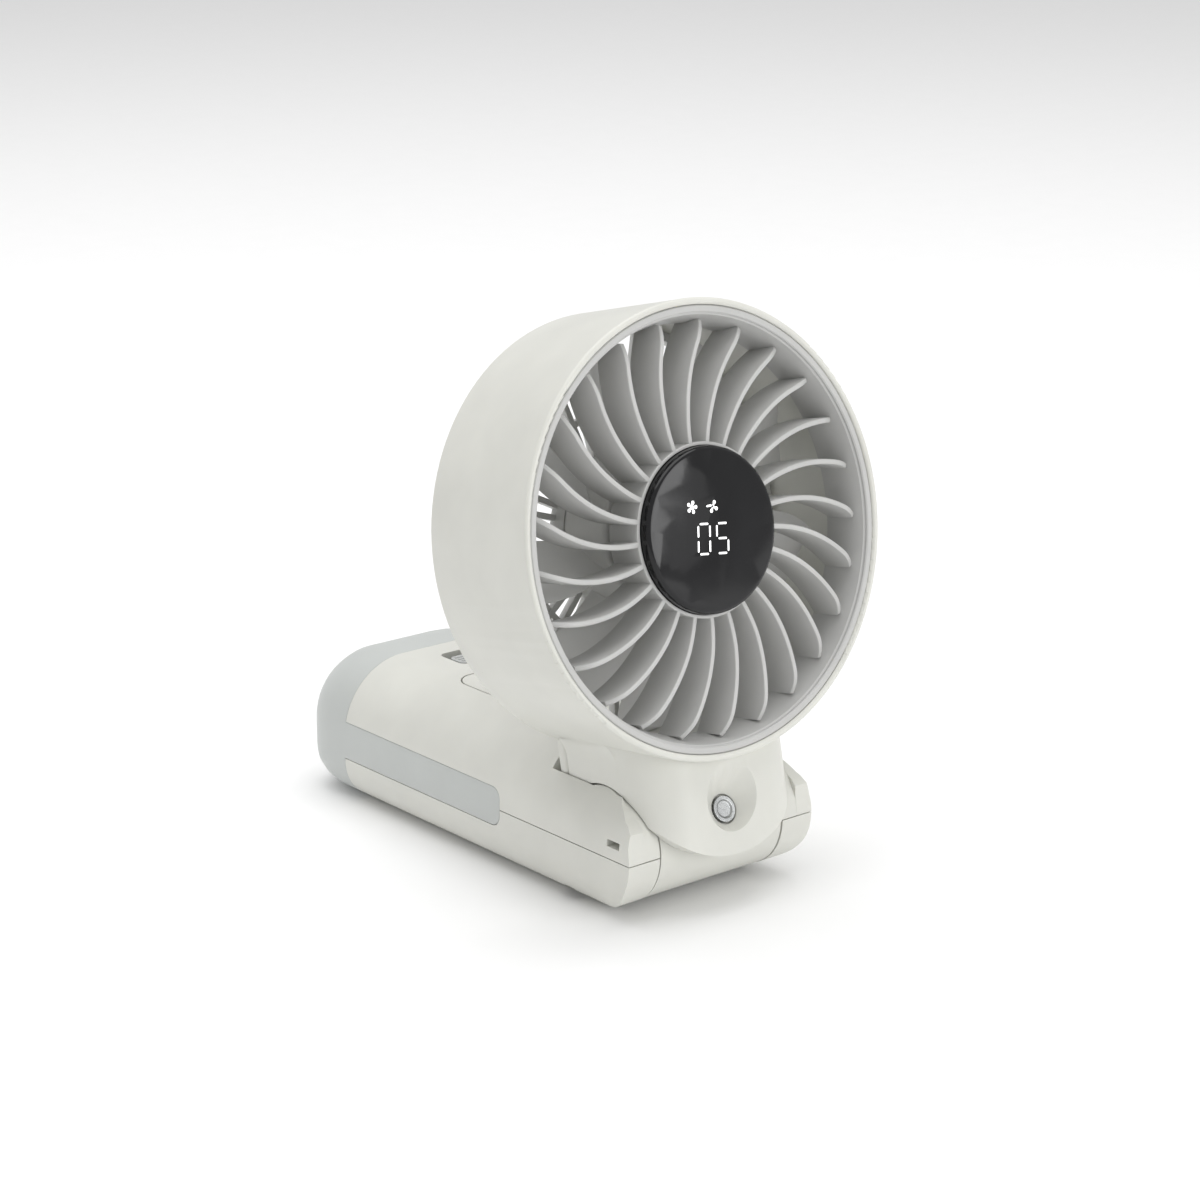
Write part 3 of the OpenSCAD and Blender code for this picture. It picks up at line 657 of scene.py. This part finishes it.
class FAN_OT_display(bpy.types.Operator):
    """Makes the dark lens with its lit figures and signs"""

    bl_idname = "fan.display"
    bl_label = "Display"

    def execute(self, context):
        lens = clean_copy("display_lens", "display_lens_polished")
        settle(lens, "lens_polished", "head", "lens_black", "display_lens")
        for node in ("display_digits", "display_icons"):
            lit = clean_copy(node, node + "_lit")
            settle(lit, "figures_lit", "head", "display_white", node)
        return {"FINISHED"}


class FAN_OT_impeller(bpy.types.Operator):
    """Makes the impeller: its hub and its twisted blades"""

    bl_idname = "fan.impeller"
    bl_label = "Impeller"

    def execute(self, context):
        s = sizes()
        blades = ring_of(blade_mesh(), "blades", s.blade_count, 0.2, "inner_satin")
        bm = bmesh.new()
        outer, wall = 15.4 * MM, 13.55 * MM
        front, floor, back = 10.75 * MM, 12.05 * MM, 21.75 * MM
        bore, corner = 1.05 * MM, 1.2 * MM
        hub = [(outer, back)] + arc(outer - corner, front + corner, corner, 0, -90, 5)
        hub += [(bore, front), (bore, floor), (wall, floor), (wall, back)]
        lathe(bm, hub, 96)
        whole = join("impeller_moulded", blades, to_mesh(bm, "hub", fan_matrix()))
        smooth_by_angle(whole, 45)
        impeller = new_object("impeller_moulded", whole)
        settle(impeller, "inner_satin", "fan", "blade_white", "impeller")
        return {"FINISHED"}


class FAN_OT_hardware(bpy.types.Operator):
    """Gives the screws, the shafts, the motor and the boards their finishes"""

    bl_idname = "fan.hardware"
    bl_label = "Hardware and inside parts"

    def execute(self, context):
        screw = clean_copy("neck_screw", "neck_screw_turned", 0.12 * MM)
        settle(screw, "steel_drawn", "head", "steel", "neck_screw")
        inside = {
            "steel_drawn": (
                "shell_screws", "hinge_shaft", "usb_port", "rotor_can", "motor_shaft", "motor_bearings"),
            "steel_laminated": ("stator_core",),
            "brass_turned": ("hinge_bushings",),
            "nickel_strip": ("cell_tabs",),
            "copper_wound": ("stator_coils",),
            "board_green": ("main_board", "usb_board", "display_board", "motor_board"),
            "board_white": ("light_board",),
            "chip_black": ("board_chips", "switch_body", "button_switch"),
            "washer_fibre": ("hinge_washers",),
            "cell_film": ("battery_cells",),
            "lamp_resin": ("light_leds",),
            "magnet_ferrite": ("rotor_magnet",),
            "inner_satin": ("motor_base",),
        }
        for finish_name, nodes in inside.items():
            for node in nodes:
                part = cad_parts[node]
                for slot in part.material_slots:
                    slot.material = material(finish_name)
        return {"FINISHED"}


def area_light(name, place, aim, size, power):
    """A round white soft box that points at aim."""
    light = bpy.data.lights.new(name, "AREA")
    light.shape = "DISK"
    light.size = size
    light.energy = power
    obj = bpy.data.objects.new(name, light)
    obj.location = place
    obj.rotation_euler = (Vector(aim) - Vector(place)).to_track_quat("-Z", "Y").to_euler()
    bpy.context.scene.collection.objects.link(obj)
    return obj


class FAN_OT_stage(bpy.types.Operator):
    """Sets up the pale floor, the soft light and the camera"""

    bl_idname = "fan.stage"
    bl_label = "Floor, light and camera"

    def execute(self, context):
        scene = context.scene
        bm = bmesh.new()
        wide, below = 3.0, 0.05 * MM
        corners = [(-wide, -wide), (wide, -wide), (wide, wide), (-wide, wide)]
        bm.faces.new([bm.verts.new((x, y, -below)) for x, y in corners])
        floor = new_object("floor", to_mesh(bm, "floor"))
        paper, _ = finish(
            "studio_paper", (0.95, 0.95, 0.95), 0.8, 0.03, mottle=0.004, grain_scale=900)
        floor.data.materials.append(paper)
        world = bpy.data.worlds.new("soft_room")
        world.use_nodes = True
        world.node_tree.nodes["Background"].inputs["Color"].default_value = (1, 1, 1, 1)
        world.node_tree.nodes["Background"].inputs["Strength"].default_value = 0.62
        scene.world = world
        target = (0, -0.04, 0.06)
        area_light("front light", (0.35, -1.0, 0.35), target, 0.6, 2.8)
        area_light("light overhead", (0.0, 0.1, 1.2), target, 1.5, 10.5)
        area_light("low card", (0.5, -0.87, 0.19), target, 0.3, 0.12)
        camera_data = bpy.data.cameras.new("camera")
        camera_data.sensor_width = 36
        camera_data.lens = 93
        camera_data.clip_start = 0.01
        camera = bpy.data.objects.new("camera", camera_data)
        aim = Vector((-28.91, -54, 63.81)) * MM
        around, above, away = math.radians(-39.64), math.radians(16.87), 531.14 * MM
        level = math.cos(above)
        back = Vector((math.sin(around) * level, -math.cos(around) * level, math.sin(above)))
        camera.location = aim + back * away
        camera.rotation_euler = (-back).to_track_quat("-Z", "Y").to_euler()
        scene.collection.objects.link(camera)
        scene.camera = camera
        scene.view_settings.view_transform = "Standard"
        return {"FINISHED"}


OPERATORS = (
    FAN_OT_shells, FAN_OT_diffuser, FAN_OT_controls, FAN_OT_front_grille, FAN_OT_rear_grille,
    FAN_OT_display, FAN_OT_impeller, FAN_OT_hardware, FAN_OT_stage,
)


class FAN_PT_panel(bpy.types.Panel):
    """Lists the steps that build the fan and its settings"""

    bl_label = "Folding Handheld Fan"
    bl_idname = "FAN_PT_panel"
    bl_space_type = "VIEW_3D"
    bl_region_type = "UI"
    bl_category = "Fan"

    def draw(self, context):
        for group in (context.scene.fan_sizes, context.scene.fan_colours):
            for name in group.__annotations__:
                self.layout.prop(group, name)
        for operator in OPERATORS:
            self.layout.operator(operator.bl_idname)


CLASSES = (FanSizes, FanColours) + OPERATORS + (FAN_PT_panel,)


def register():
    for item in CLASSES:
        bpy.utils.register_class(item)
    bpy.types.Scene.fan_sizes = PointerProperty(type=FanSizes)
    bpy.types.Scene.fan_colours = PointerProperty(type=FanColours)


def unregister():
    del bpy.types.Scene.fan_colours
    del bpy.types.Scene.fan_sizes
    for item in reversed(CLASSES):
        bpy.utils.unregister_class(item)


def main():
    register()
    bpy.ops.fan.shells()
    bpy.ops.fan.diffuser()
    bpy.ops.fan.controls()
    bpy.ops.fan.front_grille()
    bpy.ops.fan.rear_grille()
    bpy.ops.fan.display()
    bpy.ops.fan.impeller()
    bpy.ops.fan.hardware()
    bpy.ops.fan.stage()


if __name__ == "__main__":
    main()
